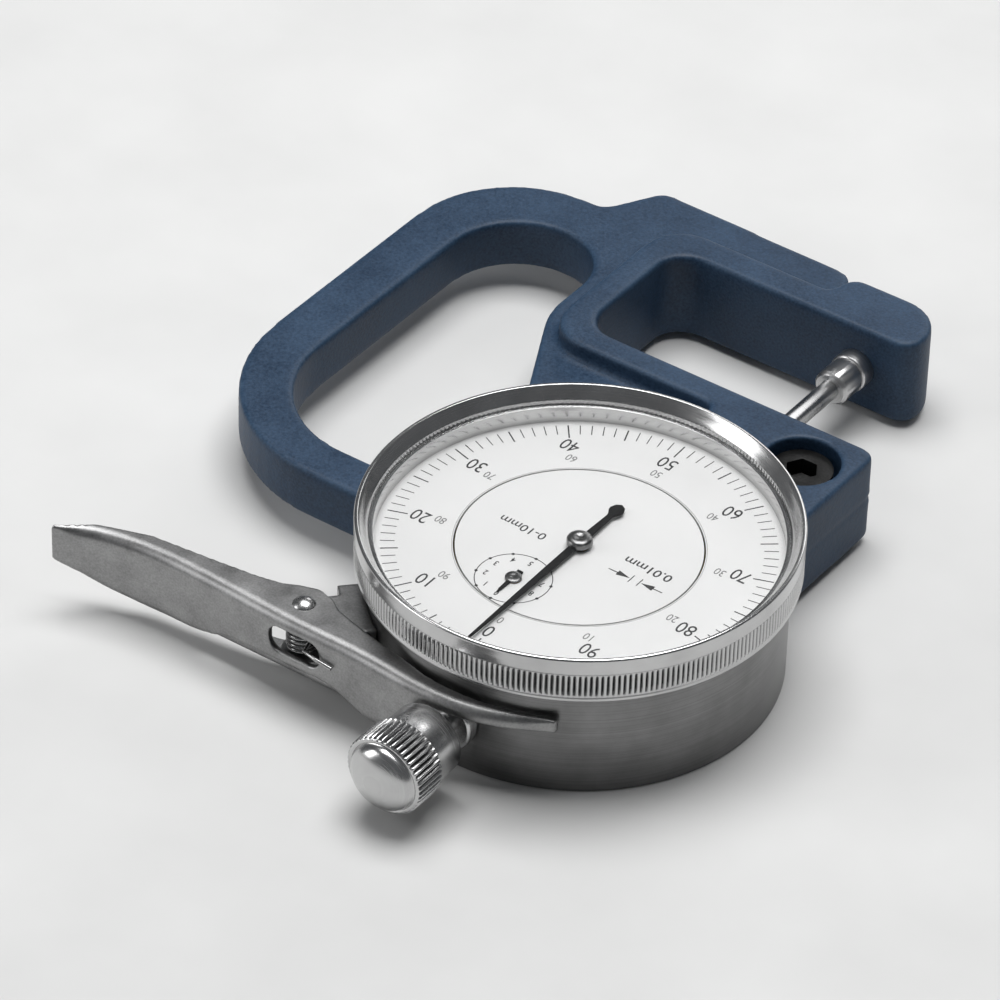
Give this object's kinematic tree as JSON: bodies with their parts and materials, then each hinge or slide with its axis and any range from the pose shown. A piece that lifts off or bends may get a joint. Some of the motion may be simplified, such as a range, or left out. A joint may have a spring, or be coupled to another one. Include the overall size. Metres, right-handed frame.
{
  "type": "dial thickness gauge",
  "caption": "Plunger dial indicator clamped in a C-shaped frame with a finger loop, an anvil and a thumb lever that lifts the spindle to measure thickness.",
  "frame": {"origin": "on the dial axis at the back plane that the gauge rests on", "axes": "+Z is the way the dial faces, +Y runs along the spindle towards the lifting cap, +X points to the finger loop"},
  "size_m": [0.0948, 0.1246, 0.0225],
  "materials": {
    "frame_paint": "fine orange-peel satin paint",
    "ground_steel": "ground",
    "steel": "satin",
    "black_steel": "black oxide",
    "satin_chrome": "satin",
    "bezel_chrome": "satin, turned",
    "zinc": "satin zinc plate",
    "spring_steel": "drawn wire",
    "brass": "milled",
    "ruby": "polished jewel",
    "dial_white": "matt white dial enamel",
    "hand_black": "semi-gloss black",
    "crystal": "clear"
  },
  "bodies": {
    "frame": {"c_frame": "frame_paint", "anvil": "ground_steel", "clamp_screw": "black_steel", "loop_screw": "steel", "case": "satin_chrome", "stem": "ground_steel", "upper_bush": "satin_chrome", "back_cover": "satin_chrome", "back_cover_screws": "black_steel", "dial_centre_plate": "dial_white", "dial_foot_nuts": "brass", "guide_rail": "brass", "rear_plate": "brass", "rear_plate_screws": "steel", "pillars": "brass", "front_plate": "brass", "front_plate_screws": "steel", "jewels": "ruby", "pinion_cock": "brass", "cock_screws": "steel", "hairspring": "spring_steel", "hairspring_stud": "brass", "return_spring": "spring_steel", "spring_post": "steel", "lever_bracket": "zinc", "bracket_screws": "steel"},
    "bezel": {"bezel": "bezel_chrome", "bezel_spring_ring": "spring_steel", "crystal": "crystal", "reflector_ring": "bezel_chrome", "dial_scale_ring": "dial_white"},
    "plunger": {"spindle": "ground_steel", "contact_point": "ground_steel", "lifting_cap": "bezel_chrome", "guide_pin": "steel", "spring_pin": "steel"},
    "drive_shaft": {"rack_pinion": "steel", "drive_gear": "brass"},
    "hand_shaft": {"centre_pinion": "steel", "pointer": "hand_black"},
    "counter_shaft": {"take_up_gear": "brass", "counter_hand": "hand_black"},
    "thumb_lever": {"lever": "zinc", "lever_pin": "steel", "lever_spring": "spring_steel"}
  },
  "joints": [
    {"name": "spindle_slide", "type": "slide", "parent": "frame", "child": "plunger", "axis": [0, 1, 0], "range_m": [0, 0.01], "stiffness_N_per_m": 60, "springref_m": -0.02, "deforming": ["return_spring", "hairspring"]},
    {"name": "drive_spin", "type": "hinge", "parent": "frame", "child": "drive_shaft", "pos_m": [-0.00285, -0.01056, 0.012], "axis": [0, 0, 1], "range_deg": [-1, 361]},
    {"name": "hand_spin", "type": "hinge", "parent": "frame", "child": "hand_shaft", "pos_m": [0, 0, 0.012], "axis": [0, 0, -1], "range_deg": [-5, 3605]},
    {"name": "counter_spin", "type": "hinge", "parent": "frame", "child": "counter_shaft", "pos_m": [0.00285, 0.01056, 0.012], "axis": [0, 0, 1], "range_deg": [-1, 361]},
    {"name": "lever_lift", "type": "hinge", "parent": "frame", "child": "thumb_lever", "pos_m": [0.0248, 0.0256, 0.0075], "axis": [0, 0, -1], "range_deg": [0, 24.3], "deforming": ["lever_spring"]},
    {"name": "bezel_turn", "type": "hinge", "parent": "frame", "child": "bezel", "pos_m": [0, 0, 0.019], "axis": [0, 0, 1], "continuous": true}
  ],
  "couplings": [
    {"joint": "drive_spin", "follows": "spindle_slide", "rad_per_m": 628.32},
    {"joint": "hand_spin", "follows": "spindle_slide", "rad_per_m": 6283.2},
    {"joint": "counter_spin", "follows": "spindle_slide", "rad_per_m": 628.32},
    {"joint": "lever_lift", "follows": "spindle_slide", "rad_per_m": 42}
  ]
}
